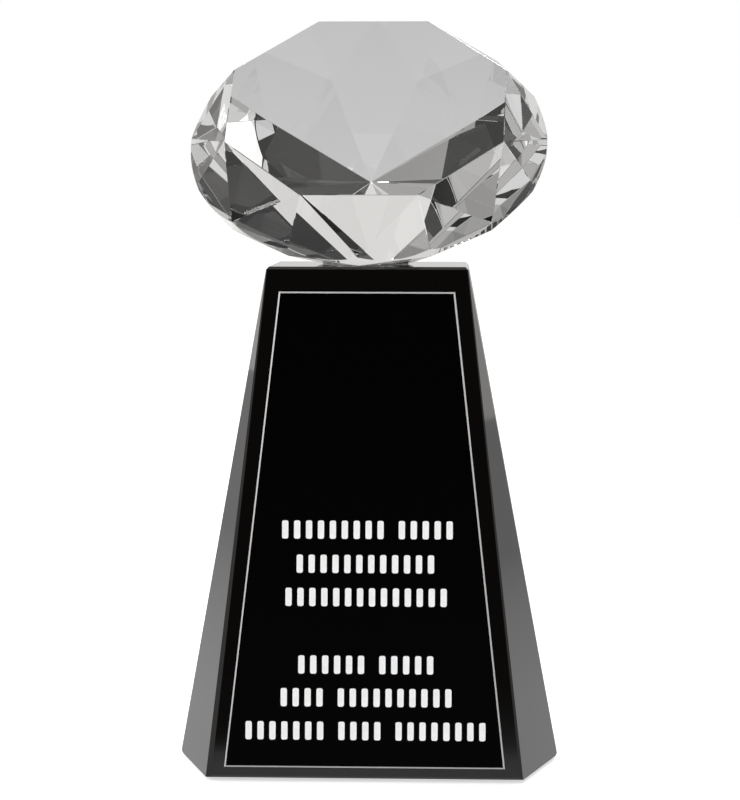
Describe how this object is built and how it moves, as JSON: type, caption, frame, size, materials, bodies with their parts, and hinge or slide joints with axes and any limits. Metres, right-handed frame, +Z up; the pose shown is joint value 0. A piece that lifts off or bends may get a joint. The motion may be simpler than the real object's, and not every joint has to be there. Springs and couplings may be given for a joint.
{
  "type": "crystal award",
  "caption": "Clear faceted crystal diamond leaning forward on a tapered black crystal pedestal, with a thin engraving plate on the front.",
  "frame": {"origin": "middle of the award's box, on the surface it stands on, under its feet", "axes": "+Z up, -Y towards the front with the plate, +X to the right of a person who faces the plate"},
  "size_m": [0.0838, 0.0734, 0.1648],
  "materials": {
    "clear_crystal": "polished optical crystal",
    "clear_adhesive": "clear cured glue",
    "black_crystal": "polished black crystal",
    "plate_metal": "gloss black coat, bright bevelled edge",
    "plate_tape": "matte",
    "foot_rubber": "matte"
  },
  "bodies": {
    "root": {"diamond": "clear_crystal", "gem_adhesive": "clear_adhesive", "pedestal": "black_crystal", "engraving_plate": "plate_metal", "plate_adhesive": "plate_tape", "foot_front_left": "foot_rubber", "foot_front_right": "foot_rubber", "foot_back_left": "foot_rubber", "foot_back_right": "foot_rubber"}
  },
  "joints": []
}
